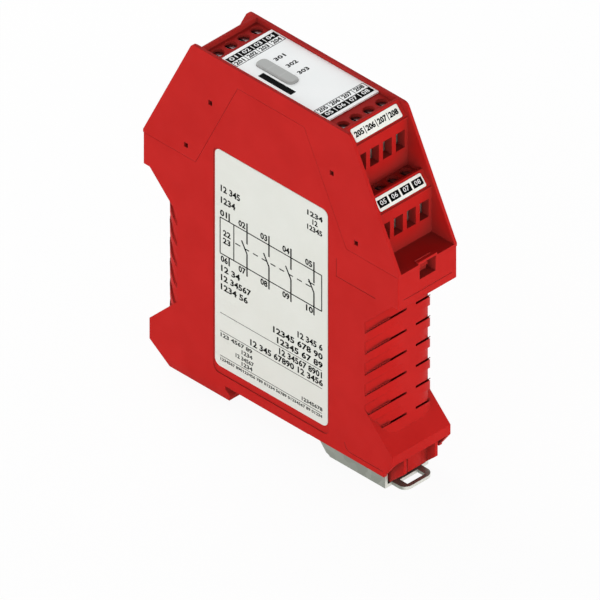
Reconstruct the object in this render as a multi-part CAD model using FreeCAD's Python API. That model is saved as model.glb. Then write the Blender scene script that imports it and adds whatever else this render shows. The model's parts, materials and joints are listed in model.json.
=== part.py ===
import FreeCAD, Part
import math
import os

from FreeCAD import Vector

# Safety relay for a 35 mm mounting rail, 22.5 mm wide, in millimetres.
# +Z points away from the rail, X runs across the rail and Y along it.
# X and Y are zero at the middle of the housing and Z is zero under the rail latch.
# The two ends are alike above the foot, so most forms are made at +X and mirrored.

# ---- rail side ----
sheet = 1.0                  # latch sheet metal
latch_height = 5.92          # height of the latch flanges
slide_gap = 0.3              # running gap between the latch and its guide
rail_seat_z = latch_height + 0.34
rail_width = 35.0
rail_sheet = 1.0
rail_play = 0.2
hook_depth = 4.04            # the fixed hook reaches this far below the rail seat
hook_nose = 1.5
hook_x = -16.1
spring_radius = 1.5
spring_wire = 0.5
spring_turns = 5
latch_travel = 3.5
seat_relief = 0.1            # the underside beyond the rail seat lies this much higher
seat_end = 14.4              # the rail seat ends here, short of the latch's nose

# ---- main housing ----
length = 99.0
width = 22.5
wall = 1.3
body_height = 108.24         # rail seat to the top of the front cover
cover_height = 38.78         # parting line at the ends to the top
end_block_height = 10.46
end_block_inset = 0.1
end_block_radius = 0.3
end_ledge = 2.45             # flat underside of the end block
waist_inset = 13.2           # the flat side faces end this far from the ends
bay_inset = 6.45             # outer plane of the louvred bays
foot_inset = 2.5
foot_top = 8.34              # rail seat to the top of the foot's end faces
foot_band = 5.16             # rail seat to the underside of the band across the front foot
foot_wall = 1.2
foot_pocket = 6.5            # depth of the pockets below the band
seam_gap = 0.06

# ---- louvres in both bays ----
louvre_pitch = 7.0
louvre_drop = 7.73           # underside of the end block to the top slot
louvre_slot = 0.5
louvre_bar = 3.5             # central bar between the two columns
louvre_half = 7.4            # the open slots end this far from the middle
groove = 0.25                # fine groove that carries a slot's line round the corner
groove_depth = 0.3
tooth_radius = 8.2           # corner radius of the recess above each slot
tooth_height = 3.4
line = 0.2                   # fine engraved lines
line_depth = 0.12

# ---- front cover ----
cover_wall = 1.0
cover_lip = 0.95
top_inset = 18.85            # the top edge ends this far from the ends
top_radius = 2.0
tongue_inset = 20.3          # foot of the housing's tongue at the seam
tongue_top_inset = 36.6
tongue_height = 32.7
plate_depth = 1.53           # front plate below the top edge
plate = 1.2
plate_left = 28.4            # ends of the front plate from the ends of the housing
plate_right = 29.2
vent_side = 1.5

# ---- terminal tiers ----
tier_shift = 9.25
tier_drop = 18.6
ways = 4
way_pitch = 5.0
screw_inset = 25.24
access_radius = 1.85
face_inset = 18.15           # wire face of the upper tier
rim_inset = 22.5
rim = 0.8
rim_height = 1.53
marker_slope_x = 3.8
marker_slope_z = 4.28
partition = 0.6
chamber_height = 12.67
opening_width = 3.45
opening_height = 5.9
opening_drop = 6.35          # top of a wire opening below the screw surface

# ---- clamps ----
head_radius = 2.0
head_height = 1.7
head_gap = 0.1
shank_radius = 1.25
shank_gap = 0.05
drive_slot = 0.6
cage_back = 2.2              # the cage reaches this far behind the screw
cage_front = 4.1
cage_y = 4.0
cage_wall = 0.6
cage_floor = 0.8
cage_roof = 1.8
cage_seat = 0.3
cage_travel = 2.0
bar_sheet = 0.8
bar_width = 2.4
bar_gap = 0.1
bar_leg = 5.9
bar_inset = 32.1
pin_side = 0.8

# ---- labels and light guide ----
front_label_sheet = plate_depth - 1.0
label_inset = 27.7
label_low = 5.74             # rail seat to the side label
label_drop = 30.1            # top of the cover to the side label
label_radius = 2.0
label_sheet = 0.15
label_recess = 0.3
label_margin = 0.5
strip_sheet = 0.5
strip_run = 4.0
strip_length = 17.9
strip_gap = 0.1
strip_start = 0.7            # top of the slope to the strip
strip_radius = 0.5
guide_x = -5.6
guide_y = -3.2
guide_length = 14.2
guide_width = 4.0
guide_radius = 1.7
guide_dome = 0.7
guide_edge = 0.3
guide_flange = 0.6
led_pitch = 4.6

# ---- electronics ----
board = 1.6
board_y = -5.8               # near face of the circuit board
board_gap = 0.3
relay_length = 40.0
relay_height = 24.0
relay_depth = 12.6
relay_low = 7.74             # rail seat to the lower relay
relay_gap = 4.0
relay_stand = 0.4
capacitor_radius = 5.0
capacitor_length = 20.0
capacitor_gap = 3.4          # clear of the contact bars beside it
capacitor_stand = 3.0        # above the seam
choke_radius = 4.5
choke_length = 9.0
choke_flange = 1.2
choke_waist = 1.0            # winding below the flanges
choke_x = 9.0
choke_stand = 6.0
chip = 12.0
chip_thickness = 1.5
chip_edge = 0.4

# ---- places worked out from the sizes ----
half = length / 2
side = width / 2
waist_x = half - waist_inset
bay_x = half - bay_inset
foot_x = half - foot_inset
top_x = half - top_inset
tongue_foot_x = half - tongue_inset
tongue_top_x = half - tongue_top_inset
screw_x = half - screw_inset
face_x = half - face_inset
rim_x = half - rim_inset
chamber_x1 = screw_x + cage_front + 0.25
bar_leg_x = half - bar_inset
label_x = half - label_inset
top_z = rail_seat_z + body_height
seam_z = top_z - cover_height
ledge_z = seam_z - end_block_height
end_x = half - end_block_inset
undercut_x = end_x - end_ledge
hook_z = rail_seat_z - hook_depth
foot_band_z = rail_seat_z + foot_band
foot_sum = foot_x + rail_seat_z + foot_top    # the foot slopes lie on X + Z = foot_sum
pocket_x = foot_x - foot_pocket
label_low_z = rail_seat_z + label_low
label_high_z = top_z - label_drop
louvre_first_z = ledge_z - louvre_drop
louvre_count = int((louvre_first_z - foot_sum + bay_x) / louvre_pitch) + 1
plate_z = top_z - plate_depth
inner_y = side - wall
cover_y = side - cover_wall
tongue_z = seam_z + tongue_height
floor_z = seam_z + cover_lip - 0.05
board_top_z = plate_z - plate - 2.77
way_places = [(index - (ways - 1) / 2) * way_pitch for index in range(ways)]
slope_unit = math.hypot(marker_slope_x, marker_slope_z)


def box(x0, x1, y0, y1, z0, z1):
    return Part.makeBox(x1 - x0, y1 - y0, z1 - z0, Vector(x0, y0, z0))


def prism(points, y0, y1):
    """Extrude an X-Z outline along Y."""
    corners = [Vector(x, y0, z) for x, z in points]
    face = Part.Face(Part.makePolygon(corners + corners[:1]))
    return face.extrude(Vector(0, y1 - y0, 0))


def rod(radius, start, direction, reach):
    return Part.makeCylinder(radius, reach, Vector(*start), Vector(*direction))


def rounded(x0, x1, y0, y1, z0, z1, radius):
    """A block with its four vertical edges rounded."""
    block = box(x0, x1, y0, y1, z0, z1)
    upright = [e for e in block.Edges if abs(e.Vertexes[0].Z - e.Vertexes[1].Z) > 1e-6]
    return block.makeFillet(radius, upright)


def mirrored(shape):
    return shape.mirror(Vector(0, 0, 0), Vector(1, 0, 0))


def fused(shapes):
    joined = shapes[0].fuse(shapes[1:]) if len(shapes) > 1 else shapes[0]
    return joined.removeSplitter()


def cut_away(shape, tools):
    return shape.cut(Part.makeCompound(tools)).removeSplitter() if tools else shape


def save(name, shape):
    """Write one node; a group of separate solids is written as a compound."""
    solids = shape.Solids
    assert solids and all(solid.isValid() for solid in solids), name
    node = solids[0] if len(solids) == 1 else Part.makeCompound(solids)
    node.exportStep("parts/" + name + ".step")


# ------------------------------------------------------------------ main housing
def housing_outline():
    """Half outline of the flat sides from the rail seat up to the tongue, at +X."""
    foot_top_z = foot_sum - foot_x
    return [
        (foot_x - 3.3, rail_seat_z),
        (foot_x - 3.3, rail_seat_z + 0.56),
        (foot_x, foot_band_z),
        (foot_x, foot_top_z),
        (waist_x, foot_sum - waist_x),
        (waist_x, ledge_z - (undercut_x - waist_x)),
        (undercut_x, ledge_z),
        (end_x, ledge_z),
        (end_x, seam_z - seam_gap),
        (tongue_foot_x - seam_gap, seam_z - seam_gap),
        (tongue_top_x - seam_gap, tongue_z - seam_gap),
    ]


def cavity_outline():
    """Half outline of the hollow at +X, one wall inside the housing and open upwards."""
    diagonal = wall * math.sqrt(2)
    ledge = ledge_z + wall
    inner_waist = waist_x - wall
    undercut = undercut_x - ledge_z + diagonal
    undercut_shift = undercut_x - ledge_z - diagonal
    inner_pocket = pocket_x - wall
    pocket_z = foot_band_z + wall
    return [
        (inner_pocket, rail_seat_z + wall),
        (inner_pocket, pocket_z),
        (foot_x - wall, pocket_z),
        (foot_x - wall, foot_sum - diagonal - foot_x + wall),
        (inner_waist, foot_sum - diagonal - inner_waist),
        (inner_waist, inner_waist - undercut_shift),
        (ledge + undercut_shift, ledge),
        (end_x - wall, ledge),
        (end_x - wall, seam_z - seam_gap),
        (length, seam_z - seam_gap),
        (length, top_z),
    ]


def both_ends(outline):
    return outline + [(-x, z) for x, z in reversed(outline)]


def bay_block(inset, z0, z1):
    """Plan of the waist with its bay at each end, rounded at all four corners."""
    reach = bay_x - inset
    deep = side - inset
    return rounded(-reach, reach, -deep, deep, z0, z1, bay_x - waist_x - inset)


def slope_slab(outer_z, thick, y0, y1, x0):
    """A 45 degree slab from x0 outwards that meets the bay's outer plane at outer_z."""
    x1 = bay_x + 1.0
    rise = thick * math.sqrt(2)
    low0 = outer_z - (bay_x - x0)
    low1 = outer_z + (x1 - bay_x)
    return prism([(x0, low0), (x1, low1), (x1, low1 + rise), (x0, low0 + rise)], y0, y1)


def louvre_field():
    """Part of the bay at +X that the louvres may cut: above the foot and below the end block."""
    x1 = bay_x + 1.0
    shift = undercut_x - ledge_z
    return prism([(waist_x, foot_sum - waist_x), (waist_x, waist_x - shift), (x1, x1 - shift),
                  (x1, foot_sum - x1)], -side - 1, side + 1)


def louvre_cuts():
    """Slots, corner grooves and tapering recesses of the bay at +X."""
    low_z = foot_sum - bay_x - 2
    around = bay_block(-0.5, low_z, ledge_z)
    shell = around.cut(bay_block(groove_depth, low_z - 1, ledge_z + 1))
    recess = around.cut(rounded(-bay_x, bay_x, -side, side, low_z - 1, ledge_z + 1, tooth_radius))
    slots = []
    rest = []
    for index in range(louvre_count):
        z = louvre_first_z - index * louvre_pitch
        for y0, y1 in ((-louvre_half, -louvre_bar / 2), (louvre_bar / 2, louvre_half)):
            slots.append(slope_slab(z, louvre_slot, y0, y1, bay_x - wall - 1.2))
        for y0, y1 in ((-side - 1, -louvre_half), (louvre_half, side + 1)):
            rest.append(slope_slab(z, groove, y0, y1, waist_x).common(shell))
        low = z + louvre_slot * math.sqrt(2)
        rest.append(slope_slab(low, tooth_height / math.sqrt(2), -side - 1, side + 1,
                               waist_x).common(recess))
    field = louvre_field()
    return [solid for shape in slots + rest for solid in shape.common(field).Solids]


def front_foot_cuts():
    """Open pockets below the band of the front foot, between its walls and ribs."""
    low = rail_seat_z - 1
    pocket = box(pocket_x, foot_x + 1, foot_wall - side, side - foot_wall, low, foot_band_z)
    rib = 1.0
    keep = [box(pocket_x - 1, foot_x - 0.2, y - rib / 2, y + rib / 2, low - 1, foot_band_z + 1)
            for y in (-6.0, 6.0)]
    keep.append(box(pocket_x - 1, foot_x - 3.1, -2.5, 2.5, low - 1, foot_band_z + 1))
    return pocket.cut(Part.makeCompound(keep)).Solids


def rear_foot():
    """Foot with the fixed hook that takes the rear lip of the rail."""
    groove_z = hook_z + hook_nose
    back_x = hook_x + 0.4
    inner = pocket_x - wall
    block = prism([
        (-foot_x, foot_sum - foot_x),
        (-foot_x, hook_z + 5.47),
        (-inner, hook_z),
        (hook_x, hook_z),
        (hook_x, groove_z),
        (back_x, groove_z + 0.1),
        (back_x - 2.0, rail_seat_z - rail_sheet - 0.04),
        (back_x - 2.0, rail_seat_z),
        (back_x - 2.0, rail_seat_z + wall),
        (-inner, rail_seat_z + wall),
        (-inner, foot_sum - foot_x),
    ], -side, side)
    return block


def seat_reliefs():
    """Shallow reliefs in the throat of the hook and above the latch, beside the rail seat."""
    reach = side + 1
    throat = box(hook_x - 1.6, hook_x + 0.2, -reach, reach, rail_seat_z - 0.5, rail_seat_z + seat_relief)
    over_latch = box(seat_end, foot_x + 1, -reach, reach, rail_seat_z - 1, rail_seat_z + seat_relief)
    return [throat, over_latch]


def fine_lines():
    """Engraved lines on the flat sides and on the end faces."""
    h = line / 2
    turn = 2.5
    x, z = foot_x - 16.0, rail_seat_z + 1.94
    x2, z2 = waist_x - 11.0, ledge_z - 0.56
    lines = []
    for y0, y1 in ((-side - 1, line_depth - side), (side - line_depth, side + 1)):
        ring = rod(turn + h, (x, y0, z + turn), (0, 1, 0), y1 - y0).cut(
            rod(turn - h, (x, y0, z + turn), (0, 1, 0), y1 - y0))
        lines.append(ring.common(box(x - turn - 1, x, y0, y1, z - 1, z + turn)))
        lines.append(box(x, foot_x - 3.7, y0, y1, z - h, z + h))
        lines.append(box(x2 - h, x2 + h, y0, y1, z2 - h, z2 + 5.9))
        lines.append(box(x2 - h, x2 + 15.1, y0, y1, z2 - h, z2 + h))
    z3 = ledge_z + 2.44
    for sign in (-1, 1):
        x0, x1 = sorted((sign * (end_x - line_depth), sign * (end_x + 1)))
        lines.append(box(x0, x1, -9.3, 9.3, z3 - h, z3 + h))
    return lines


guide_x0 = rail_width / 2 + 3.0
guide_x1 = pocket_x
guide_end = 1.1              # full-width front of the guide
guide_neck = 5.2
guide_head = side - 2.9 - sheet - slide_gap
guide_low = sheet + slide_gap
lip_z = latch_height - sheet
lip_x1 = guide_x1 - guide_end - latch_travel - 0.4
spring_x0 = guide_x0 + 0.2
spring_x1 = lip_x1 - 0.5
spring_room = 2.6


def latch_guide():
    """T-section rail below the front foot that the latch slides on, closed at the front."""
    head_z = lip_z - slide_gap
    root_z = rail_seat_z + seat_relief
    neck = box(guide_x0, guide_x1, -guide_neck, guide_neck, guide_low, root_z)
    head = box(guide_x0, guide_x1, -guide_head, guide_head, guide_low, head_z)
    front = box(guide_x1 - guide_end, guide_x1, -guide_head, guide_head, guide_low, root_z)
    room = box(guide_x0 - 1, spring_x1, -spring_room, spring_room, guide_low - 1, head_z + slide_gap)
    return cut_away(fused([neck, head, front]), [room])


def board_guides():
    """Ribs on the floor of the housing that hold the lower edge of the circuit board."""
    floor = rail_seat_z + wall
    rib = 0.8
    ribs = []
    for x in (-28.0, 16.0):
        ribs.append(box(x, x + 12, board_y - 0.2 - rib, board_y - 0.2, floor, floor + 4))
        ribs.append(box(x, x + 12, board_y + board + 0.2, board_y + board + 0.2 + rib, floor, floor + 4))
    return ribs


def snap_pocket(sign):
    """Window in the end block where the cover's tab can be released."""
    x0, x1 = sorted((sign * (end_x - 4.0), sign * (end_x + 1)))
    return box(x0, x1, -3.1, 3.1, ledge_z + 6.26, seam_z)


def snap_wall(sign):
    x0, x1 = sorted((sign * (end_x - 5.0), sign * (end_x - wall)))
    return box(x0, x1, -4.1, 4.1, ledge_z + wall, seam_z - seam_gap)


def snap_hook(sign):
    """Hook inside the window that the cover snaps over."""
    root = end_x - 4.0
    low = ledge_z + 6.26
    points = [(root, low), (root + 1.2, low), (root + 1.2, low + 1.6), (root + 2.0, low + 1.8),
              (root + 1.2, low + 3.4), (root, low + 3.4)]
    return prism([(sign * x, z) for x, z in points], -2.2, 2.2)


def main_housing():
    sides = prism(both_ends(housing_outline()), -side, side)
    upright = [e for e in sides.Edges
               if abs(abs(e.CenterOfMass.x) - end_x) < 1e-3 and e.BoundBox.ZLength > 1]
    sides = sides.makeFillet(end_block_radius, upright)
    bay = bay_block(0, foot_sum - bay_x - 6, ledge_z - wall)
    body = fused([sides, bay, rear_foot()])
    hollow = prism(both_ends(cavity_outline()), -inner_y, inner_y)
    hollow = hollow.fuse(bay_block(wall, foot_sum - bay_x - 4.5, ledge_z))
    body = body.cut(hollow)
    right = louvre_cuts()
    left = [mirrored(shape) for shape in right]
    recess = rounded_plate(label_x + label_margin, label_low_z - 2.4, label_high_z + 0.3,
                           -side - 1, -side + label_recess, label_radius)
    body = body.fuse([snap_wall(1), snap_wall(-1)])
    body = cut_away(body, right + left + front_foot_cuts() + seat_reliefs() + fine_lines()
                    + [recess, snap_pocket(1), snap_pocket(-1)])
    body = fused([body, latch_guide(), snap_hook(1), snap_hook(-1)] + board_guides())
    return body


def rounded_plate(half_x, z0, z1, y0, y1, radius):
    """An upright plate with rounded corners, centred on X."""
    block = box(-half_x, half_x, y0, y1, z0, z1)
    corners = [e for e in block.Edges
               if abs(e.Vertexes[0].Y - e.Vertexes[1].Y) > 1e-6]
    return block.makeFillet(radius, corners)


# ------------------------------------------------------------------ front cover
def tier_places():
    """Shift in X and Z of the upper and the lower terminal tier."""
    return [("upper", 0.0, 0.0), ("lower", tier_shift, -tier_drop)]


def cover_steps():
    """Half section of the stepped front at +X: outside from the middle down, then back inside."""
    outside = [(0, plate_z)]
    inside = []
    for name, dx, dz in tier_places():
        surface = plate_z + dz
        rim_top = surface + rim_height
        outside += [
            (rim_x + dx, surface),
            (rim_x + dx, rim_top),
            (rim_x + rim + dx, rim_top),
            (rim_x + rim + marker_slope_x + dx, rim_top - marker_slope_z),
            (face_x + dx, rim_top - marker_slope_z - 0.3),
        ]
        if name == "upper":
            outside.append((face_x, plate_z - tier_drop))
    outside += [(face_x + tier_shift, floor_z), (half, floor_z), (half, seam_z)]
    back = screw_x - cage_back - 0.16 - cover_wall
    block_low = plate_z - plate - chamber_height - plate
    inside = [
        (face_x + tier_shift - cover_wall, seam_z),
        (face_x + tier_shift - cover_wall, block_low - tier_drop),
        (back + tier_shift, block_low - tier_drop),
        (back + tier_shift, block_low),
        (back, block_low),
        (back, plate_z - plate),
        (0, plate_z - plate),
    ]
    return outside + inside


def cover_side():
    """Outline of one side wall of the cover, round the housing's tongue."""
    return both_ends([
        (tongue_top_x, tongue_z),
        (tongue_foot_x, seam_z),
        (half, seam_z),
        (half, seam_z + cover_lip),
        (top_x, top_z),
    ])


def chamber(dx, dz, y):
    """Room of one clamp, sloped beside the marker plate."""
    x0 = screw_x - cage_back - 0.16 + dx
    x1 = chamber_x1 + dx
    z1 = plate_z - plate + dz
    z0 = z1 - chamber_height
    bend_x = rim_x - 0.2 + dx
    drop = (x1 - bend_x) * marker_slope_z / marker_slope_x
    slope = [(x0, z0), (x1, z0), (x1, z1 - drop), (bend_x, z1), (x0, z1)]
    y0 = y - (way_pitch - partition) / 2
    y1 = y + (way_pitch - partition) / 2
    y0 = -cover_y if y == way_places[0] else y0
    y1 = cover_y if y == way_places[-1] else y1
    return prism(slope, y0, y1)


def bar_z(dz):
    """Underside of a contact bar."""
    cage_low = plate_z - plate - chamber_height + cage_seat + dz
    return cage_low + cage_floor + 4.7


def terminal_cuts():
    cuts = []
    for name, dx, dz in tier_places():
        surface = plate_z + dz
        high = surface - opening_drop
        back = screw_x - cage_back - 0.16 + dx
        for y in way_places:
            cuts.append(chamber(dx, dz, y))
            cuts.append(rod(access_radius, (screw_x + dx, y, surface - plate - 1), (0, 0, 1), plate + 2))
            cuts.append(box(chamber_x1 + dx - 0.1, face_x + dx + 1,
                            y - opening_width / 2, y + opening_width / 2, high - opening_height, high))
            cuts.append(box(back - cover_wall - 0.5, back + 0.5,
                            y - bar_width / 2 - bar_gap, y + bar_width / 2 + bar_gap,
                            bar_z(dz) - bar_gap, bar_z(dz) + bar_sheet + bar_gap))
        cuts.append(strip_block(dx, dz, strip_gap))
    return cuts


def strip_block(dx, dz, clearance):
    """Marker strip let into the slope below the rim; with clearance it is the recess."""
    run_x = marker_slope_x / slope_unit
    run_z = -marker_slope_z / slope_unit
    x0 = rim_x + rim + dx + run_x * strip_start
    z0 = plate_z + rim_height + dz + run_z * strip_start
    strip = rounded(-clearance, strip_run + clearance, -strip_length / 2 - clearance,
                    strip_length / 2 + clearance, -strip_sheet, clearance * 5, strip_radius)
    strip.rotate(Vector(0, 0, 0), Vector(0, 1, 0), math.degrees(math.atan2(-run_z, run_x)))
    strip.translate(Vector(x0, 0, z0))
    return strip


def pill(grow, z0, z1):
    """Plan of the light guide, enlarged all round."""
    x = guide_length / 2 + grow
    y = guide_width / 2 + grow
    return rounded(guide_x - x, guide_x + x, guide_y - y, guide_y + y, z0, z1, guide_radius + grow)


def side_vents():
    """Small square holes in the side walls of the cover."""
    vents = []
    for x, drop in ((23.5, 16.18), (32.9, 34.98)):
        z = top_z - drop
        h = vent_side / 2
        vents.append(box(x - h, x + h, -side - 1, cover_wall - side, z - h, z + h))
        vents.append(box(x - h, x + h, side - cover_wall, side + 1, z - h, z + h))
    return vents


def front_cover():
    steps = cover_steps()
    half_front = prism(steps, -cover_y, cover_y)
    right_cuts = terminal_cuts()
    half_front = cut_away(half_front, right_cuts)
    wall_near = prism(cover_side(), -side, -cover_y)
    wall_far = prism(cover_side(), cover_y, side)
    walls = []
    for ear in (wall_near, wall_far):
        corners = [e for e in ear.Edges
                   if e.BoundBox.YLength > cover_wall / 2 and e.BoundBox.ZMin > top_z - 0.01]
        walls.append(ear.makeFillet(top_radius, corners))
    lip = box(half - 1.0, half, -3.6, 3.6, floor_z, floor_z + 0.8)
    notch = box(half - 2.3, half + 1, -3.1, 3.1, seam_z - 1, floor_z)
    half_front = half_front.fuse(lip).cut(notch)
    cover = fused([half_front, mirrored(half_front)] + walls)
    vents = side_vents()
    vents += [mirrored(vent) for vent in vents]
    hole = pill(0.1, plate_z - plate - 1, plate_z + 1)
    return cut_away(cover, vents + [hole])


# ------------------------------------------------------------------ rail latch
def rail_latch():
    """Folded sheet channel with a nose under the front lip of the rail and a pull loop."""
    nose_x = rail_width / 2 - 2.8
    step_x = rail_width / 2 + rail_play + 0.2
    front_x = foot_x - 5.7
    outer = guide_head + slide_gap + sheet
    under = rail_seat_z - rail_sheet - 0.14
    profile = [
        (front_x, 0), (step_x + 2.0, 0), (step_x + 1.6, 0.42), (step_x + 0.6, 0.72),
        (nose_x + 1.7, under - 2.0), (nose_x, under), (step_x, under), (step_x, latch_height),
        (front_x, latch_height),
    ]
    near = prism(profile, -outer, sheet - outer)
    far = prism(profile, outer - sheet, outer)
    base = box(step_x + 2.0, front_x, sheet - outer, outer - sheet, 0, sheet)
    lips = []
    for sign in (-1, 1):
        y0, y1 = sorted((sign * (guide_neck + slide_gap), sign * (outer - sheet)))
        lips.append(box(guide_x0 - 0.5, lip_x1, y0, y1, lip_z, latch_height))
    tab = box(spring_x0 + slide_gap, spring_x0 + slide_gap + sheet, -2.0, 2.0, sheet, lip_z - 0.5)
    loop_x = front_x + 5.0
    loop = rounded(front_x - 4.0, loop_x, -5.65, 5.65, 0, sheet, 2.5)
    slot = box(front_x + 0.8, loop_x - 1.3, -3.4, 3.4, -1, sheet + 1)
    return cut_away(fused([near, far, base, tab, loop] + lips), [slot])


def latch_spring():
    """Compression spring of square wire between the latch's tab and the end of the guide's room."""
    h = spring_wire / 2
    radius = spring_radius - h
    x0 = spring_x0 + slide_gap + sheet + h + 0.1
    x1 = spring_x1 - h - 0.1
    helix = Part.makeLongHelix((x1 - x0) / spring_turns, x1 - x0, radius)
    corners = [Vector(radius + a * h, 0, b * h) for a, b in ((-1, -1), (1, -1), (1, 1), (-1, 1))]
    section = Part.makePolygon(corners + corners[:1])
    coil = Part.Wire(helix.Edges).makePipeShell([section], True, True)
    coil.rotate(Vector(0, 0, 0), Vector(0, 1, 0), 90)
    coil.translate(Vector(x0, 0, sheet + slide_gap + 0.1 + spring_radius))
    return coil


# ------------------------------------------------------------------ clamps
def terminal_screw(x, y, surface):
    head_top = surface - plate - head_gap
    tip = bar_top(surface) + bar_gap
    head = rod(head_radius, (x, y, head_top - head_height), (0, 0, 1), head_height)
    shank = rod(shank_radius, (x, y, tip), (0, 0, 1), head_top - head_height - tip)
    h = drive_slot / 2
    slot = box(x - head_radius - 1, x + head_radius + 1, y - h, y + h, head_top - 0.8, head_top + 1)
    return fused([head, shank]).cut(slot)


def bar_top(surface):
    return bar_z(surface - plate_z) + bar_sheet


def clamp_cage(x, y, surface):
    """Rising cage: its floor lifts the wire against the contact bar."""
    low = surface - plate - chamber_height + cage_seat
    window_low = low + cage_floor
    window_high = bar_top(surface) + 0.2
    high = window_high + cage_roof
    cage = box(x - cage_back, x + cage_front, y - cage_y / 2, y + cage_y / 2, low, high)
    inner = cage_y / 2 - cage_wall
    window = box(x - cage_back - 1, x + cage_front + 1, y - inner, y + inner, window_low, window_high)
    hole = rod(shank_radius + shank_gap, (x, y, window_high - 1), (0, 0, 1), cage_roof + 2)
    return cage.cut(window).cut(hole)


def contact_bars(dx, dz):
    """Four bent bars from the clamps of one tier to pins on the circuit board."""
    low = bar_z(dz)
    x1 = chamber_x1 - 0.1 + dx
    leg_x = bar_leg_x + dx
    bars = []
    for index, y in enumerate(way_places):
        h = bar_width / 2
        reach = bar_leg if index < 3 else bar_leg + 2.0
        tail = low + bar_sheet - reach
        strip = box(leg_x - bar_sheet / 2, x1, y - h, y + h, low, low + bar_sheet)
        leg = box(leg_x - bar_sheet / 2, leg_x + bar_sheet / 2, y - h, y + h, tail, low + bar_sheet)
        face = board_y if y < board_y else board_y + board
        pin_z = tail + 0.2
        y0, y1 = sorted((y, face))
        pin = box(leg_x - pin_side / 2, leg_x + pin_side / 2, y0, y1, pin_z, pin_z + pin_side)
        bars.append(fused([strip, leg, pin]))
    return Part.makeCompound(bars)


# ------------------------------------------------------------------ labels and light guide
def side_label():
    y0 = -side + label_recess - label_sheet
    return rounded_plate(label_x, label_low_z, label_high_z, y0, y0 + label_sheet, label_radius)


def front_label():
    sheet_plate = box(plate_left - half, half - plate_right, -cover_y + 0.1, cover_y - 0.1,
                      plate_z, plate_z + front_label_sheet)
    hole = pill(0.1, plate_z - 1, plate_z + 2)
    return sheet_plate.cut(hole)


def light_guide():
    """Clear window over three status lamps, with a flange below the plate and a leg to each lamp."""
    base_z = plate_z - plate - 0.1 - guide_flange
    top = plate_z + front_label_sheet
    body = pill(0, base_z, top + guide_dome)
    rim_edges = [e for e in body.Edges if e.BoundBox.ZMin > top + guide_dome - 1e-3]
    body = body.makeChamfer(guide_edge, rim_edges)
    flange = pill(0.6, base_z, base_z + guide_flange)
    legs = []
    for place in (-1, 0, 1):
        x = guide_x + place * led_pitch
        legs.append(box(x - 1.2, x + 1.2, board_y + board + 0.1, board_y + board + 1.7,
                        board_top_z + 0.3, base_z))
    return fused([body, flange] + legs)


def status_led(place):
    """Side-mounted lamp with a round lens."""
    x = guide_x + place * led_pitch
    y0 = board_y + board
    body = box(x - 1.5, x + 1.5, y0, y0 + 1.8, board_top_z - 2.4, board_top_z - 0.5)
    lens = rod(0.8, (x, y0 + 0.9, board_top_z - 0.5), (0, 0, 1), 0.5)
    return fused([body, lens])


# ------------------------------------------------------------------ electronics
def circuit_board():
    low = rail_seat_z + wall + board_gap
    tier1_x = bar_leg_x + 2.1
    shoulder1 = plate_z - plate * 2 - chamber_height - 1.4
    shoulder2 = seam_z - 1.8
    outline = both_ends([
        (foot_x - 9.0, low), (foot_x - 9.0, shoulder2), (tier1_x + tier_shift, shoulder2),
        (tier1_x + tier_shift, shoulder1), (tier1_x, shoulder1), (tier1_x, board_top_z),
    ])
    return prism(outline, board_y, board_y + board)


def safety_relay(z0):
    """Lying relay with forced contacts, standing on its pins."""
    y0 = board_y + board
    y1 = y0 + relay_stand
    h = pin_side / 2
    body = box(-relay_length / 2, relay_length / 2, y1, y1 + relay_depth, z0, z0 + relay_height)
    edges = [e for e in body.Edges if e.BoundBox.YMin > y1 + relay_depth - 1e-3]
    body = body.makeChamfer(0.8, edges)
    pins = []
    for share in (-0.4, -0.15, 0.15, 0.4):
        x = share * relay_length
        for z in (z0 + 3.0, z0 + relay_height - 3.0):
            pins.append(box(x - h, x + h, y0, y1, z - h, z + h))
    return fused([body] + pins)


def standing_can(x, z0, radius, reach):
    """Round can upright against the board, with a beaded groove near its foot."""
    y = board_y + board + radius
    outline = [(0, 0), (radius, 0), (radius, 1.5), (radius - 0.4, 2.1), (radius, 2.7),
               (radius, reach - 0.5), (radius - 0.5, reach), (0, reach)]
    corners = [Vector(x + r, y, z0 + z) for r, z in outline]
    face = Part.Face(Part.makePolygon(corners + corners[:1]))
    return face.revolve(Vector(x, y, z0), Vector(0, 0, 1), 360)


def choke(x, z0):
    y0 = board_y + board
    z = z0 + choke_radius
    bobbin = rod(choke_radius, (x, y0, z), (0, 1, 0), choke_flange)
    core = rod(choke_radius - choke_waist, (x, y0 + choke_flange, z), (0, 1, 0),
               choke_length - 2 * choke_flange)
    top = rod(choke_radius, (x, y0 + choke_length - choke_flange, z), (0, 1, 0), choke_flange)
    return fused([bobbin, core, top])


def control_chip(x, z):
    """Controller of one channel, on the near side of the board."""
    h = chip / 2
    body = box(x - h, x + h, board_y - chip_thickness, board_y, z - h, z + h)
    outer = [e for e in body.Edges if e.BoundBox.YMax < board_y - chip_thickness * 0.9]
    return body.makeChamfer(chip_edge, outer)


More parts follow.
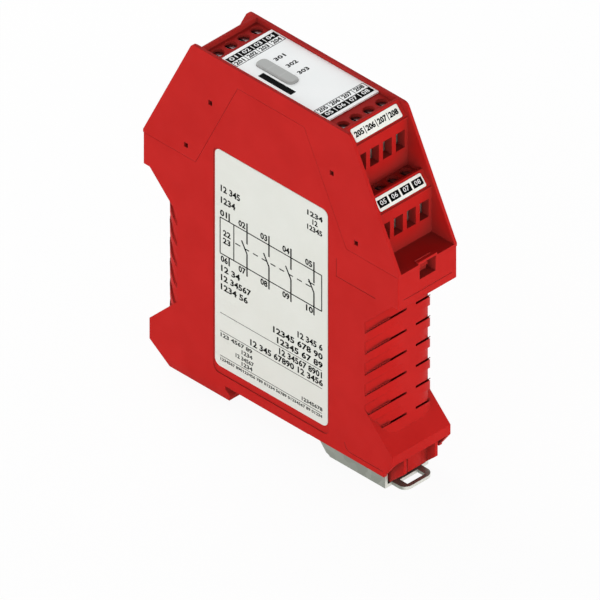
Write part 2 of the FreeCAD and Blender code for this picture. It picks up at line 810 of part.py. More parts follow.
# ------------------------------------------------------------------ write the nodes
os.makedirs("parts", exist_ok=True)
save("main_housing", main_housing())
save("front_cover", front_cover())
save("front_label", front_label())
save("light_guide", light_guide())
save("side_label", side_label())
save("rail_latch", rail_latch())
save("latch_spring", latch_spring())
save("circuit_board", circuit_board())
for channel in range(2):
    relay_z = rail_seat_z + relay_low + channel * (relay_height + relay_gap)
    save("relay_" + str(channel + 1), safety_relay(relay_z))
    save("control_chip_" + str(channel + 1), control_chip(0.0, relay_z + relay_height / 2))
capacitor_x = capacitor_radius + capacitor_gap - bar_leg_x
save("buffer_capacitor", standing_can(capacitor_x, seam_z + capacitor_stand, capacitor_radius, capacitor_length))
save("input_choke", choke(choke_x, seam_z + choke_stand))
for number, place in enumerate((-1, 0, 1)):
    save("status_led_" + str(number + 1), status_led(place))
for end, turn in (("right", 1), ("left", -1)):
    for tier, dx, dz in tier_places():
        name = end + "_" + tier
        strip = strip_block(dx, dz, 0)
        bars = contact_bars(dx, dz)
        save("marker_strip_" + name, strip if turn > 0 else mirrored(strip))
        save("contact_bars_" + name, bars if turn > 0 else mirrored(bars))
        for way, y in enumerate(way_places):
            screw = terminal_screw(screw_x + dx, y, plate_z + dz)
            cage = clamp_cage(screw_x + dx, y, plate_z + dz)
            save("terminal_screw_" + name + "_" + str(way + 1), screw if turn > 0 else mirrored(screw))
            save("clamp_cage_" + name + "_" + str(way + 1), cage if turn > 0 else mirrored(cage))
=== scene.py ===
import json
import math

import bmesh
import bpy
from mathutils import Matrix, Vector


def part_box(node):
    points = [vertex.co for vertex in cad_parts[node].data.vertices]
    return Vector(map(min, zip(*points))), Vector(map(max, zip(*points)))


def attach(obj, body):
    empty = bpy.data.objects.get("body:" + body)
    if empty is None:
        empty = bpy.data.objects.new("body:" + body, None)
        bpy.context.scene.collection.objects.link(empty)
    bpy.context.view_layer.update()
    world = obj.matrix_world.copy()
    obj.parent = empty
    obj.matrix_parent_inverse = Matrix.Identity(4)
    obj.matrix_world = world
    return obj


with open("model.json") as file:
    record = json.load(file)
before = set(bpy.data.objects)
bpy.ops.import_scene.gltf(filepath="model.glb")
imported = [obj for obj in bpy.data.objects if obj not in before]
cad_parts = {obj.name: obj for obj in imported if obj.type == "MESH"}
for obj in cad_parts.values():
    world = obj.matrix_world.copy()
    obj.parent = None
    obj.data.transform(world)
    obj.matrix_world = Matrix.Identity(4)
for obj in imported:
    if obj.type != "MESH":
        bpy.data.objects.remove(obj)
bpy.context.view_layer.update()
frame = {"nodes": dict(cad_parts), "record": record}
nodes = frame["nodes"]
MM = 0.001
MM_PER_METRE = 1000

INK = 0.03 * MM                  # thickness of a printed layer
ENDS = {"right": 1, "left": -1}  # ends of the module and the sign of X there
TIERS = ("upper", "lower")       # terminal tiers at each end
WAYS = 4                         # terminals on each tier


# ------------------------------------------------------------------ material helpers
def linear(hex_colour):
    """An sRGB hex colour as linear RGBA."""
    parts = [int(hex_colour[i:i + 2], 16) / 255 for i in (1, 3, 5)]
    return tuple(c / 12.92 if c <= 0.04045 else ((c + 0.055) / 1.055) ** 2.4 for c in parts) + (1,)


def add(tree, kind, settings=None, **links):
    """Adds one node; settings go to its properties or sockets, and links feed its sockets.

    A link is named for its socket, with _ for a space, or for the socket's number after a _.
    """
    node = tree.nodes.new(kind)
    for name, value in (settings or {}).items():
        if name in node.inputs:
            node.inputs[name].default_value = value
        else:
            setattr(node, name, value)
    for name, source in links.items():
        spaced = name.replace("_", " ")
        socket = spaced if spaced in node.inputs else int(name[1:])
        tree.links.new(source, node.inputs[socket])
    return node


def new_material(name, colour, rough, metallic=0.0, **sockets):
    """A principled material with its plain numbers on the shader's own sockets."""
    material = bpy.data.materials.new(name)
    material.use_nodes = True
    tree = material.node_tree
    shader = tree.nodes["Principled BSDF"]
    shader.inputs["Base Color"].default_value = linear(colour)
    shader.inputs["Roughness"].default_value = rough
    shader.inputs["Metallic"].default_value = metallic
    for socket, value in sockets.items():
        shader.inputs[socket.replace("_", " ")].default_value = value
    return material, tree, shader


def in_object(tree, stretch=(1, 1, 1)):
    """Object coordinates, stretched along an axis where a grain runs."""
    place = add(tree, "ShaderNodeTexCoord")
    mapping = add(tree, "ShaderNodeMapping", {"Scale": stretch}, Vector=place.outputs["Object"])
    return mapping.outputs[0]


def mottle(tree, shader, light, dark, size_mm, place):
    """Soft change between two near colours at a real size."""
    noise = add(tree, "ShaderNodeTexNoise", {"Scale": MM_PER_METRE / size_mm, "Detail": 3.0},
                Vector=place)
    ramp = add(tree, "ShaderNodeValToRGB", {}, Fac=noise.outputs["Fac"])
    ramp.color_ramp.elements[0].position = 0.35
    ramp.color_ramp.elements[0].color = linear(dark)
    ramp.color_ramp.elements[1].position = 0.65
    ramp.color_ramp.elements[1].color = linear(light)
    tree.links.new(ramp.outputs[0], shader.inputs["Base Color"])
    return ramp.outputs[0]


def grain(tree, shader, size_mm, depth_mm, place, rounding_mm=0.0):
    """Fine relief at a real size, over edges that are rounded to a real radius."""
    noise = add(tree, "ShaderNodeTexNoise", {"Scale": MM_PER_METRE / size_mm, "Detail": 2.0},
                Vector=place)
    bump = add(tree, "ShaderNodeBump", {"Strength": 0.5, "Distance": depth_mm * MM},
               Height=noise.outputs["Fac"])
    if rounding_mm:
        edge = add(tree, "ShaderNodeBevel", {"Radius": rounding_mm * MM, "samples": 6})
        tree.links.new(edge.outputs[0], bump.inputs["Normal"])
    tree.links.new(bump.outputs[0], shader.inputs["Normal"])


def rough_change(tree, shader, low, high, size_mm, place):
    """Roughness that wanders between two values at a real size."""
    noise = add(tree, "ShaderNodeTexNoise", {"Scale": MM_PER_METRE / size_mm, "Detail": 3.0},
                Vector=place)
    spread = add(tree, "ShaderNodeMapRange", {"To Min": low, "To Max": high},
                 Value=noise.outputs["Fac"])
    tree.links.new(spread.outputs[0], shader.inputs["Roughness"])


def deepen(tree, colour, shade_colour, reach_mm):
    """The colour is darkened where walls stand close together: painted shade in recesses."""
    hollow = add(tree, "ShaderNodeAmbientOcclusion", {"Distance": reach_mm * MM, "samples": 8})
    share = add(tree, "ShaderNodeMapRange", {"From Min": 0.2, "From Max": 0.92},
                Value=hollow.outputs["AO"])
    mix = add(tree, "ShaderNodeMix", {"data_type": "RGBA"}, Factor=share.outputs[0], _7=colour)
    mix.inputs[6].default_value = linear(shade_colour)
    return mix.outputs[2]


def settled_dust(tree, shader, colour, top_shade_tint):
    """Level faces that look up are darkened by a grey tint: painted shade on upward faces."""
    facing = add(tree, "ShaderNodeNewGeometry").outputs["True Normal"]
    upward = add(tree, "ShaderNodeSeparateXYZ", {}, Vector=facing).outputs["Z"]
    level = add(tree, "ShaderNodeMapRange", {"From Min": 0.85, "From Max": 0.98}, Value=upward)
    mix = add(tree, "ShaderNodeMix", {"data_type": "RGBA", "blend_type": "MULTIPLY"},
              Factor=level.outputs[0], _6=colour)
    mix.inputs[7].default_value = linear(top_shade_tint)
    tree.links.new(mix.outputs[2], shader.inputs["Base Color"])


# ------------------------------------------------------------------ materials
def moulded_red():
    """PC/ABS blend from a spark-eroded mould: satin, with a fine even grain and soft edges."""
    material, tree, shader = new_material("moulded_red_abs", "#C0201D", 0.48,
                                          Specular_IOR_Level=0.05)
    place = in_object(tree)
    plain = mottle(tree, shader, "#C2211E", "#BD1E1B", 9.0, place)
    # Painted shade: the red is darkened in recesses and on level faces that look up.
    settled_dust(tree, shader, deepen(tree, plain, "#A0342F", 7.0), "#D2D2D2")
    # The real grain is about 0.05 mm; 0.35 mm is the finest that still shows.
    grain(tree, shader, 0.35, 0.02, place, rounding_mm=0.22)
    rough_change(tree, shader, 0.44, 0.54, 4.0, place)
    return material


def deep_seam():
    """Darker moulded red as painted shade, for dark lines where a seam or groove lies in shadow;
    matt.
    """
    material, tree, shader = new_material("red_seam_painted_shade", "#7E1713", 0.7, Specular_IOR_Level=0.1)
    place = in_object(tree)
    mottle(tree, shader, "#821916", "#761411", 2.0, place)
    grain(tree, shader, 0.35, 0.02, place)
    return material


def label_film(name, light, dark):
    """Printed polyester film: smooth, slightly uneven satin."""
    material, tree, shader = new_material(name, light, 0.5, Specular_IOR_Level=0.15)
    place = in_object(tree)
    mottle(tree, shader, light, dark, 14.0, place)
    grain(tree, shader, 1.2, 0.004, place)
    return material


def ink(name, colour):
    """Thermal transfer ink: dense, nearly matt and very slightly uneven."""
    material, tree, shader = new_material(name, colour, 0.6, Specular_IOR_Level=0.03)
    grain(tree, shader, 0.5, 0.002, in_object(tree))
    return material


def marker_plastic():
    """Cream polyamide of clip-in marker strips, moulded smooth, with a soft shine."""
    material, tree, shader = new_material("cream_polyamide", "#FDFCF5", 0.4,
                                          Specular_IOR_Level=0.5)
    place = in_object(tree)
    mottle(tree, shader, "#FEFDF7", "#FBFAF1", 5.0, place)
    grain(tree, shader, 0.4, 0.008, place, rounding_mm=0.15)
    return material


def light_pipe():
    """Smoke-grey polycarbonate light guide: glossy dome, with faint webs between its windows."""
    window, web = "#A7A9A7", "#AEB0AE"
    web_place, web_half = 2.3 * MM, 0.35 * MM
    material, tree, shader = new_material("smoke_polycarbonate", window, 0.3, Coat_Weight=0.15)
    low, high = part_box("light_guide")
    place = add(tree, "ShaderNodeTexCoord").outputs["Object"]
    centred = add(tree, "ShaderNodeMapping", {"Location": (-(low.x + high.x) / 2, 0, 0)},
                  Vector=place)
    along = add(tree, "ShaderNodeSeparateXYZ", {}, Vector=centred.outputs[0]).outputs["X"]
    from_middle = add(tree, "ShaderNodeMath", {"operation": "ABSOLUTE"}, _0=along)
    past_web = add(tree, "ShaderNodeMath", {"operation": "SUBTRACT"}, _0=from_middle.outputs[0])
    past_web.inputs[1].default_value = web_place
    from_web = add(tree, "ShaderNodeMath", {"operation": "ABSOLUTE"}, _0=past_web.outputs[0])
    mask = add(tree, "ShaderNodeMapRange", {"From Max": web_half}, Value=from_web.outputs[0])
    ramp = add(tree, "ShaderNodeValToRGB", {}, Fac=mask.outputs[0])
    ramp.color_ramp.elements[0].color = linear(web)
    ramp.color_ramp.elements[1].color = linear(window)
    tree.links.new(ramp.outputs[0], shader.inputs["Base Color"])
    grain(tree, shader, 2.5, 0.01, place)
    return material


def galvanised_sheet():
    """Hot-dip galvanised steel strip: grey zinc crystals, faint rolling lines and bright ends
    facing
    +X, paler sheared steel with a painted highlight. The crystals are about 3 mm across."""
    material, tree, shader = new_material("galvanised_strip", "#8F938B", 0.4, metallic=0.8)
    place = in_object(tree)
    crystals = add(tree, "ShaderNodeTexVoronoi", {"Scale": MM_PER_METRE / 3.0}, Vector=place)
    ramp = add(tree, "ShaderNodeValToRGB", {}, Fac=crystals.outputs["Color"])
    ramp.color_ramp.elements[0].color = linear("#858980")
    ramp.color_ramp.elements[1].color = linear("#9B9F96")
    facing = add(tree, "ShaderNodeNewGeometry").outputs["True Normal"]
    endways = add(tree, "ShaderNodeSeparateXYZ", {}, Vector=facing).outputs["X"]
    # Painted highlight: only faces turned to +X are lightened, beyond the paler colour of sheared
    # steel.
    lit_sheared_end = add(tree, "ShaderNodeMapRange", {"From Min": 0.4, "From Max": 0.8}, Value=endways)
    colour = add(tree, "ShaderNodeMix", {"data_type": "RGBA"}, Factor=lit_sheared_end.outputs[0],
                 _6=ramp.outputs[0])
    colour.inputs[7].default_value = linear("#DCDCD4")
    tree.links.new(colour.outputs[2], shader.inputs["Base Color"])
    grain(tree, shader, 0.3, 0.01, in_object(tree, (0.05, 1, 1)), rounding_mm=0.12)
    rough_change(tree, shader, 0.32, 0.48, 2.0, place)
    return material


def plated(name, colour, rough, size_mm):
    """Plated or drawn metal: bright, with fine tool marks."""
    material, tree, shader = new_material(name, colour, rough, metallic=1.0)
    place = in_object(tree)
    rough_change(tree, shader, rough * 0.8, rough * 1.25, size_mm, place)
    grain(tree, shader, 0.25, 0.006, place, rounding_mm=0.1)
    return material


def solder_resist():
    """Green solder resist over copper tracks, which show as paler lines 8 mm apart."""
    resist, track = "#1C5A34", "#2F7A45"
    material, tree, shader = new_material("green_solder_resist", resist, 0.3, Coat_Weight=0.4)
    place = in_object(tree)
    upright = add(tree, "ShaderNodeMapping", {"Rotation": (math.radians(90), 0, 0)}, Vector=place)
    tracks = add(tree, "ShaderNodeTexBrick",
                 {"Scale": MM_PER_METRE / 8.0, "Mortar Size": 0.05, "Color1": linear(resist),
                  "Color2": linear("#1A5431"), "Mortar": linear(track)},
                 Vector=upright.outputs[0])
    tree.links.new(tracks.outputs["Color"], shader.inputs["Base Color"])
    grain(tree, shader, 1.0, 0.01, place)
    return material


def moulded_case(name, light, dark, rough=0.4):
    """Thermoset or nylon component case, moulded with a fine grain."""
    material, tree, shader = new_material(name, light, rough)
    place = in_object(tree)
    mottle(tree, shader, light, dark, 3.0, place)
    grain(tree, shader, 0.3, 0.01, place, rounding_mm=0.15)
    return material


red = moulded_red()
finishes = {
    "red_housing": red,
    "red_cover": red,
    "white_label": label_film("white_label_film", "#FAFCFC", "#F6F9F9"),
    "grey_label": label_film("silver_grey_label_film", "#E3E5DE", "#E0E2DA"),
    "marker": marker_plastic(),
    "light_guide": light_pipe(),
    "galvanised_sheet": galvanised_sheet(),
    "spring_steel": plated("drawn_spring_steel", "#B9B9B6", 0.3, 0.4),
    "screw_steel": plated("zinc_plated_screw", "#B4B5B8", 0.32, 0.5),
    "cage_steel": plated("nickel_plated_cage", "#D2CEC4", 0.5, 0.6),
    "bar_copper": plated("tinned_copper_bar", "#C8B48C", 0.35, 0.6),
    "board": solder_resist(),
    "relay_case": moulded_case("relay_nylon", "#E2DDCC", "#D9D3C0"),
    "can": plated("drawn_aluminium_can", "#C9CACC", 0.32, 0.8),
    "choke_core": moulded_case("ferrite", "#2C2C2E", "#242426", 0.55),
    "chip_case": moulded_case("chip_epoxy", "#1B1B1D", "#151517", 0.5),
    "lamp": moulded_case("lamp_epoxy", "#D9D9D2", "#CFCFC8", 0.2),
}
black_ink = ink("black_transfer_ink", "#050506")
white_ink = ink("white_transfer_ink", "#F3F5F5")
grey_ink = ink("grey_transfer_ink", "#3C3D3B")

for row in frame["record"]["subparts"]:
    mesh = nodes[row["node"]].data
    mesh.materials.clear()
    mesh.materials.append(finishes[row["material_slot"]])
bpy.ops.object.select_all(action="DESELECT")


# ------------------------------------------------------------------ modelling helpers
def only(*objects):
    """Selects just these objects, with the first one active."""
    bpy.ops.object.select_all(action="DESELECT")
    for item in objects:
        item.select_set(True)
    bpy.context.view_layer.objects.active = objects[0]


def settle(item):
    """Applies an object's place, turn and scale to its mesh."""
    only(item)
    bpy.ops.object.transform_apply(location=True, rotation=True, scale=True)
    return item


def joined(items):
    """Several objects as one."""
    only(*items)
    bpy.ops.object.join()
    return bpy.context.object


def one_finish(mesh, material):
    """Puts one material on all the faces of a new mesh."""
    mesh.materials.clear()
    mesh.materials.append(material)
    for polygon in mesh.polygons:
        polygon.material_index = 0


def inked_box(x0, x1, y0, y1):
    """A printed rectangle, lying in X-Y with its foot at Z 0."""
    bpy.ops.mesh.primitive_plane_add(size=1, location=((x0 + x1) / 2, (y0 + y1) / 2, 0))
    item = bpy.context.object
    item.scale = (x1 - x0, y1 - y0, 1)
    settle(item)
    bpy.ops.object.mode_set(mode="EDIT")
    bpy.ops.mesh.select_all(action="SELECT")
    bpy.ops.mesh.extrude_region_move(TRANSFORM_OT_translate={"value": (0, 0, INK)})
    bpy.ops.mesh.select_all(action="SELECT")
    bpy.ops.mesh.normals_make_consistent(inside=False)
    bpy.ops.object.mode_set(mode="OBJECT")
    return item


def inked_line(start, end, thick):
    """A printed line from one point to another."""
    a, b = Vector(start), Vector(end)
    item = inked_box(0, (b - a).length, -thick / 2, thick / 2)
    item.rotation_euler.z = math.atan2(b.y - a.y, b.x - a.x)
    item.location = (a.x, a.y, 0)
    return settle(item)


def inked_number(digits, x, y, height, wide=None, turn=0.0, lift=0.0, weight=0.04):
    """Printed plain digits, centred on a point and set to a width if one is given.

    The weight fattens each stroke by that share of the height.
    """
    height_in_font = 0.73
    bpy.ops.object.text_add(location=(0, 0, 0))
    item = bpy.context.object
    item.data.body = str(digits)
    item.data.size = height / height_in_font
    item.data.offset = height * weight
    item.data.align_x = "CENTER"
    item.data.align_y = "CENTER"
    item.data.extrude = INK / 2
    item.data.resolution_u = 2
    only(item)
    bpy.ops.object.convert(target="MESH")
    item = bpy.context.object
    if wide:
        item.scale.x = wide / item.dimensions.x
    item.rotation_euler.z = turn
    item.location = (x, y, INK / 2 + lift)
    return settle(item)


def counted(groups):
    """Digits counted up from 1, in groups of the given lengths."""
    count = 0
    words = []
    for size in groups:
        words.append("".join(str((count + step + 1) % 10) for step in range(size)))
        count += size
    return " ".join(words)


def print_layer(name, items, material, place):
    """Joins printed shapes into one layer and lays it on its surface."""
    layer = joined(items)
    layer.name = name
    layer.data.name = name
    one_finish(layer.data, material)
    layer.matrix_world = place
    settle(layer)
    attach(layer, "housing")


# ------------------------------------------------------------------ front label
def front_label_print():
    """Two rows of terminal numbers at each end, three lamp numbers and a bare black bar."""
    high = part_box("front_label")[1]
    top = Matrix.Translation((0, 0, high.z))
    reading = math.radians(90)
    pitch, first = 4.67 * MM, -9.05 * MM             # of the terminals across the label
    dark_row, pale_row, edge = 2.35, 2.2, 0.18 * MM  # widths of the rows and of their outline
    tall, two_digits, three_digits = 1.5 * MM, 2.6 * MM, 3.3 * MM
    slim = 0.015                                     # weight that keeps white digits open
    tick_half, tick_half_width = 0.9 * MM, 0.12 * MM
    bar_x, bar_y = (-8.1 * MM, 4.6 * MM), (-8.2 * MM, -6.1 * MM)
    last = first + WAYS * pitch
    black = []
    white = []
    # End, left edges of its dark and pale row, and the first number in each.
    rows = (("left", -19.9, -17.45, 1, 201), ("right", 16.9, 14.5, 5, 205))
    for end, dark_x, pale_x, dark_number, pale_number in rows:
        x0, x1 = dark_x * MM, (dark_x + dark_row) * MM
        middle = (x0 + x1) / 2
        black.append(inked_box(x0, x1, first, last))
        for way in range(WAYS):
            y = first + (way + 0.5) * pitch
            white.append(inked_number("%02d" % (dark_number + way), middle, y, tall,
                                      two_digits, reading, INK, slim))
        for way in range(1, WAYS):
            y = first + way * pitch
            tick = inked_box(middle - tick_half, middle + tick_half,
                             y - tick_half_width, y + tick_half_width)
            tick.data.transform(Matrix.Translation((0, 0, INK)))
            white.append(tick)
        x0, x1 = pale_x * MM, (pale_x + pale_row) * MM
        for way in range(WAYS + 1):
            y = first + way * pitch
            black.append(inked_box(x0, x1, y - edge / 2, y + edge / 2))
            if way < WAYS:
                black.append(inked_number(pale_number + way, (x0 + x1) / 2, y + pitch / 2, tall,
                                          three_digits, reading))
        inner = x0 if end == "right" else x1
        black.append(inked_box(inner - edge / 2, inner + edge / 2, first, last))
    lamp_y, lamp_tall, lamp_wide = 2.5 * MM, 1.45 * MM, 3.9 * MM
    for lamp, x in enumerate((-10.1, -5.6, -1.1)):
        black.append(inked_number(301 + lamp, x * MM, lamp_y, lamp_tall, lamp_wide, reading))
    black.append(inked_box(*bar_x, *bar_y))
    print_layer("front_label_black_print", black, black_ink, top)
    print_layer("front_label_white_print", white, white_ink, top)


# ------------------------------------------------------------------ marker strips
def strip_place(name, sign):
    """Middle of a strip's outer face, with X along the strip, Y up the slope and Z outwards."""
    run, rise, sheet = 3.8, 4.28, 0.5 * MM           # of the slope, and the strip's thickness
    low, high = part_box(name)
    reach = math.hypot(run, rise)
    out = Vector((sign * rise / reach, 0, run / reach))
    up = Vector((-sign * run / reach, 0, rise / reach))
    along = up.cross(out)
    middle = (low + high) / 2 + out * sheet / 2
    turn = Matrix((along, up, out)).transposed().to_4x4()
    return Matrix.Translation(middle) @ turn


def marker_prints():
    """Plain numbers with thin dividers on the upper strips, white on black boxes on the lower."""
    pitch, half = 4.4 * MM, 1.12 * MM                # half is half the height of the print
    divider, box_half = 0.24 * MM, 1.87 * MM
    three_digits = {"height": 1.6 * MM, "wide": 3.35 * MM, "weight": 0.06}
    two_digits = {"height": 1.4 * MM, "wide": 2.2 * MM, "weight": 0.01, "lift": INK}
    for end, sign in ENDS.items():
        first = 0 if sign < 0 else WAYS
        for tier in TIERS:
            name = "marker_strip_" + end + "_" + tier
            place = strip_place(name, sign)
            dark = []
            pale = []
            for way in range(WAYS):
                along = (way - (WAYS - 1) / 2) * pitch
                number = way + 1 + first
                if tier == "upper":
                    dark.append(inked_number(200 + number, along, 0, **three_digits))
                    if way:
                        edge = along - pitch / 2
                        dark.append(inked_line((edge, -half), (edge, half), divider))
                else:
                    dark.append(inked_box(along - box_half, along + box_half, -half, half))
                    pale.append(inked_number("%02d" % number, along, 0, **two_digits))
            print_layer(name + "_black_print", dark, black_ink, place)
            if pale:
                print_layer(name + "_white_print", pale, white_ink, place)


# ------------------------------------------------------------------ side label
def side_label_print():
    """A generic contact diagram with plain numbers, ruled lines and rows of counted digits."""
    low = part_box("side_label")[0]
    face = Matrix.Translation((0, low.y, 0)) @ Matrix.Rotation(math.radians(90), 4, "X")
    black = [inked_line((x0 * MM, z0 * MM), (x1 * MM, z1 * MM), thick * MM)
             for x0, z0, x1, z1, thick in diagram_lines()]
    over, under = 63.5 * MM, 48.2 * MM               # heights of the numbers at its terminals
    terminal_digits = {"height": 2.0 * MM, "wide": 2.7 * MM}
    for number, x in enumerate((-18.2, -11.35, -2.85, 5.65, 14.5)):
        black.append(inked_number("%02d" % (number + 1), x * MM, over, **terminal_digits))
        black.append(inked_number("%02d" % (number + 6), x * MM, under, **terminal_digits))
    coil_x, coil_digits = -17.2 * MM, {"height": 1.9 * MM, "wide": 2.9 * MM}
    for number, z in ((22, 57.2), (23, 54.6)):
        black.append(inked_number(number, coil_x, z * MM, **coil_digits))
    left, right, ruled = -19.8 * MM, 19.6 * MM, 0.17 * MM
    grey = [inked_line((left, z * MM), (right, z * MM), ruled) for z in (30.0, 24.0, 15.7)]
    small = 1.5                                      # shorter digits than this are grey
    for x0, x1, z, tall, groups in digit_rows():
        row = inked_number(counted(groups), (x0 + x1) / 2 * MM, z * MM, tall * MM, (x1 - x0) * MM)
        (black if tall > small else grey).append(row)
    print_layer("side_label_black_print", black, black_ink, face)
    print_layer("side_label_grey_print", grey, grey_ink, face)


def diagram_lines():
    """Segments of the diagram in millimetres: its frame, coil cell, contacts and dashed link."""
    top, bottom, left, right, cell = 61.9, 49.9, -19.8, 19.5, -14.5
    lead_over, lead_under, coil_lead = 3.0, 2.8, -16.3
    fixed_foot, pivot, tip, swing = 57.9, 54.6, 58.2, 2.1
    link, link_end, dash, gap = 56.0, 15.0, 1.9, 1.5
    fine, heavy = 0.34, 0.5
    segments = [(left, top, right, top, fine), (left, bottom, right, bottom, fine),
                (left, bottom, left, top, fine), (right, bottom, right, top, fine),
                (cell, bottom, cell, top, fine)]
    for x in (-9.4, -0.9, 7.6, 16.5):
        segments.append((x, top + lead_over, x, fixed_foot, heavy))
        segments.append((x, pivot, x, bottom - lead_under, heavy))
        segments.append((x, pivot, x - swing, tip, heavy))
    # The stop of the last contact, which is closed at rest.
    segments.append((16.7, 57.3, 14.3, 57.3, fine))
    for z0, z1 in ((top, top + lead_under), (bottom - lead_under, bottom)):
        segments.append((coil_lead, z0, coil_lead, z1, heavy))
    x = cell + 0.6
    while x < link_end:
        segments.append((x, link, x + dash, link, fine))
        x += dash + gap
    return segments


def digit_rows():
    """Rows as left, right, middle height, digit height (millimetres) and sizes of their groups."""
    return [
        (13.6, 19.6, 80.4, 1.7, (4,)), (15.7, 17.7, 78.0, 1.7, (2,)),
        (13.7, 19.5, 75.6, 1.7, (5,)), (-19.8, -12.3, 71.7, 2.1, (2, 3)),
        (-19.8, -14.2, 67.8, 2.1, (4,)), (-19.7, -12.4, 45.0, 2.0, (2, 2)),
        (-19.8, -8.2, 41.9, 2.0, (2, 5)), (-19.8, -9.4, 38.8, 2.0, (4, 2)),
        (9.9, 19.6, 37.5, 2.0, (2, 3, 1)), (0.4, 19.6, 34.5, 2.0, (5, 3, 2)),
        (1.9, 19.6, 31.6, 2.0, (5, 2, 2)), (3.0, 19.6, 28.3, 2.0, (2, 5, 4)),
        (-8.4, 19.7, 25.7, 2.0, (2, 3, 5, 2, 4)), (-19.8, -7.6, 22.7, 1.3, (3, 4, 2)),
        (-11.7, -7.5, 20.7, 1.3, (4,)), (-14.0, -7.0, 18.6, 1.3, (2, 5)),
        (-11.7, -7.5, 16.8, 1.3, (4,)), (11.6, 19.6, 16.9, 1.2, (8,)),
        (-19.8, 19.6, 14.6, 0.95, (7, 9, 3, 5, 5, 8, 2, 5)),
    ]


# ------------------------------------------------------------------ ribs of the front foot
def foot_ribs():
    """Two gussets, the stop block between them and the web beside it below the band of the front
    foot, cut back on one slant down to the latch."""
    back, low, band = 40.3, 1.35, 11.4               # rear face, foot and top of all the ribs
    edge = 0.1 * MM
    slant_foot = Vector((41.3 * MM, 0, low * MM))
    slant = Vector((5.1, 0, -5.5)).normalized()
    ribs = []
    # Each rib's front face, then its two sides.
    for front, y0, y1 in ((46.8, -6.55, -5.45), (46.8, 5.45, 6.55),
                          (44.25, -2.6, 2.5), (43.4, 2.3, 5.7)):
        middle = ((back + front) / 2 * MM, (y0 + y1) / 2 * MM, (low + band) / 2 * MM)
        bpy.ops.mesh.primitive_cube_add(size=1, location=middle)
        item = bpy.context.object
        item.scale = ((front - back) * MM, (y1 - y0) * MM, (band - low) * MM)
        settle(item)
        bpy.ops.object.mode_set(mode="EDIT")
        bpy.ops.mesh.select_all(action="SELECT")
        bpy.ops.mesh.bisect(plane_co=slant_foot, plane_no=slant, use_fill=True, clear_outer=True)
        bpy.ops.mesh.select_all(action="SELECT")
        bpy.ops.mesh.bevel(offset=edge, segments=2, affect="EDGES")
        bpy.ops.object.mode_set(mode="OBJECT")
        ribs.append(item)
    ribs = joined(ribs)
    ribs.name = "front_foot_ribs"
    one_finish(ribs.data, red)
    bpy.ops.object.shade_smooth_by_angle(angle=math.radians(35))
    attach(ribs, "housing")


# ------------------------------------------------------------------ painted shade in seams and grooves
def rail_seams(shade_finish):
    """Fine dark strips of painted shadow along the foot of the marker rails, just below the
    strips.
    """
    half, low, high = 10.1 * MM, -2.72 * MM, -2.42 * MM
    for end, sign in ENDS.items():
        for tier in TIERS:
            line = inked_box(-half, half, low, high)
            line.name = "marker_rail_shadow_" + end + "_" + tier
            line.data.transform(strip_place("marker_strip_" + end + "_" + tier, sign))
            one_finish(line.data, shade_finish)
            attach(line, "housing")


def groove_floor(face):
    """Whether a face of the housing is the floor of a louvre groove, on the rounded corners of
    the bays beside the open slots."""
    pitch, slot_level, floor_half = 7.0, -13.17, 0.2
    corner_x, corner_y, side_y = 36.5, 7.35, 11.2
    middle = face.calc_center_median() / MM
    # The louvres climb outwards at 45 degrees, so height less reach tells one from the next.
    climb = (middle.z - abs(middle.x) - slot_level + pitch / 2) % pitch - pitch / 2
    in_corner = abs(middle.x) > corner_x and corner_y < abs(middle.y) < side_y
    upright = abs(face.normal.z) < 0.1
    return upright and in_corner and abs(climb) < floor_half


def louvre_seams(shade_finish):
    """Thin dark films of painted shade on the floors of the louvre grooves, from the slots out to
    the sides.
    """
    body = bmesh.new()
    body.from_mesh(nodes["main_housing"].data)
    bmesh.ops.remove_doubles(body, verts=body.verts, dist=0.001 * MM)
    others = [face for face in body.faces if not groove_floor(face)]
    bmesh.ops.delete(body, geom=others, context="FACES")
    mesh = bpy.data.meshes.new("louvre_seams")
    body.to_mesh(mesh)
    body.free()
    shade_film = bpy.data.objects.new("louvre_seams", mesh)
    bpy.context.collection.objects.link(shade_film)
    only(shade_film)
    film = shade_film.modifiers.new("film", "SOLIDIFY")
    film.thickness = 0.05 * MM
    film.offset = 1.0
    bpy.ops.object.modifier_apply(modifier="film")
    # The film stays within the width of the housing.
    low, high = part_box("main_housing")
    for vertex in mesh.vertices:
        vertex.co.y = min(max(vertex.co.y, low.y), high.y)
    one_finish(mesh, shade_finish)
    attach(shade_film, "housing")


foot_ribs()
seam_shade_red = deep_seam()
rail_seams(seam_shade_red)
louvre_seams(seam_shade_red)
front_label_print()
marker_prints()
side_label_print()


# ------------------------------------------------------------------ floor, light and camera
def floor_and_backdrop():
    """A white floor that keeps a faint shadow."""
    glow_share = 0.94
    bpy.ops.mesh.primitive_plane_add(size=6.0, location=(0, 0, -0.2 * MM))
    floor = bpy.context.object
    floor.name = "floor"
    material = bpy.data.materials.new("white_paper")
    material.use_nodes = True
    tree = material.node_tree
    paper = tree.nodes["Principled BSDF"]
    paper.inputs["Base Color"].default_value = linear("#F6F6F6")
    paper.inputs["Roughness"].default_value = 0.9
    paper.inputs["Specular IOR Level"].default_value = 0.0
    glow = add(tree, "ShaderNodeEmission", {"Color": (1, 1, 1, 1), "Strength": 1.0})
    rays = add(tree, "ShaderNodeLightPath").outputs
    seen = add(tree, "ShaderNodeMath", {"operation": "MAXIMUM"}, _0=rays["Is Camera Ray"],
               _1=rays["Is Glossy Ray"])
    share = add(tree, "ShaderNodeMath", {"operation": "MULTIPLY"}, _0=seen.outputs[0])
    share.inputs[1].default_value = glow_share
    mix = add(tree, "ShaderNodeMixShader", {}, Fac=share.outputs[0], _1=paper.outputs[0],
              _2=glow.outputs[0])
    tree.links.new(mix.outputs[0], tree.nodes["Material Output"].inputs["Surface"])
    floor.data.materials.append(material)


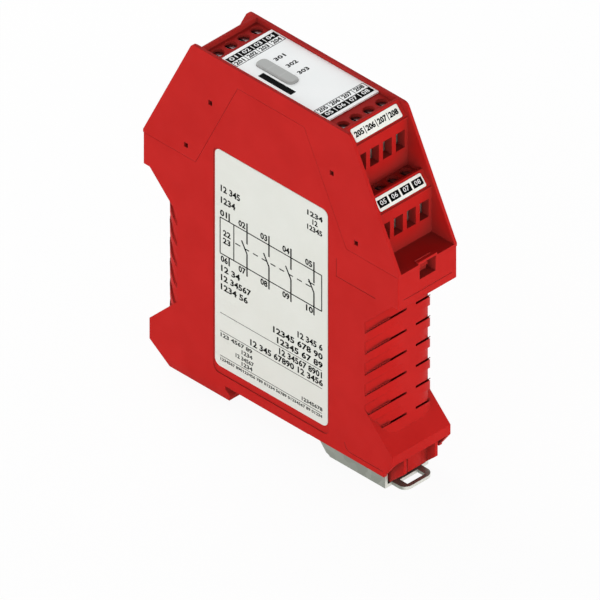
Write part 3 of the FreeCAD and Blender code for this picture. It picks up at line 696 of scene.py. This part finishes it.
def studio_light():
    """A round white cove, brighter at the horizon than overhead, with three soft boxes."""
    world = bpy.data.worlds.new("studio")
    bpy.context.scene.world = world
    world.use_nodes = True
    tree = world.node_tree
    around = tree.nodes["Background"]
    around.inputs["Color"].default_value = (1, 1, 1, 1)
    ray = add(tree, "ShaderNodeTexCoord").outputs["Generated"]
    height = add(tree, "ShaderNodeSeparateXYZ", {}, Vector=ray).outputs["Z"]
    cove = add(tree, "ShaderNodeMapRange", {"To Min": 1.65, "To Max": 0.05}, Value=height)
    tree.links.new(cove.outputs[0], around.inputs["Strength"])
    white = add(tree, "ShaderNodeBackground", {"Color": (1, 1, 1, 1), "Strength": 1.0})
    seen = add(tree, "ShaderNodeLightPath").outputs["Is Camera Ray"]
    mix = add(tree, "ShaderNodeMixShader", {}, Fac=seen, _1=around.outputs[0], _2=white.outputs[0])
    tree.links.new(mix.outputs[0], tree.nodes["World Output"].inputs["Surface"])
    aim = Vector((0, 0, 0.05))
    # Name, place and size in metres, and power in watts.
    for name, place, size, power in (("front_box", (0.05, -0.7, 0.3), 0.5, 0.5),
                                     ("right_box", (0.75, -0.1, 0.08), 0.5, 1.7),
                                     ("left_box", (-0.6, 0.15, 0.65), 0.6, 3.3)):
        bpy.ops.object.light_add(type="AREA", location=place)
        lamp = bpy.context.object
        lamp.name = name
        lamp.data.size = size
        lamp.data.energy = power
        lamp.rotation_euler = (aim - Vector(place)).to_track_quat("-Z", "Y").to_euler()


def isometric_camera():
    """Parallel view from the right, in front and above, with equal foreshortening of all axes."""
    view_width, distance = 164.17 * MM, 0.6
    aim = Vector((0, 0, 38.4 * MM))
    place = aim + Vector((1, -1, 1)).normalized() * distance
    bpy.ops.object.camera_add(location=place)
    camera = bpy.context.object
    camera.rotation_euler = (aim - place).to_track_quat("-Z", "Y").to_euler()
    camera.data.type = "ORTHO"
    camera.data.ortho_scale = view_width
    camera.data.clip_start = 0.01
    bpy.context.scene.camera = camera


floor_and_backdrop()
studio_light()
isometric_camera()
bpy.context.scene.view_settings.view_transform = "Standard"
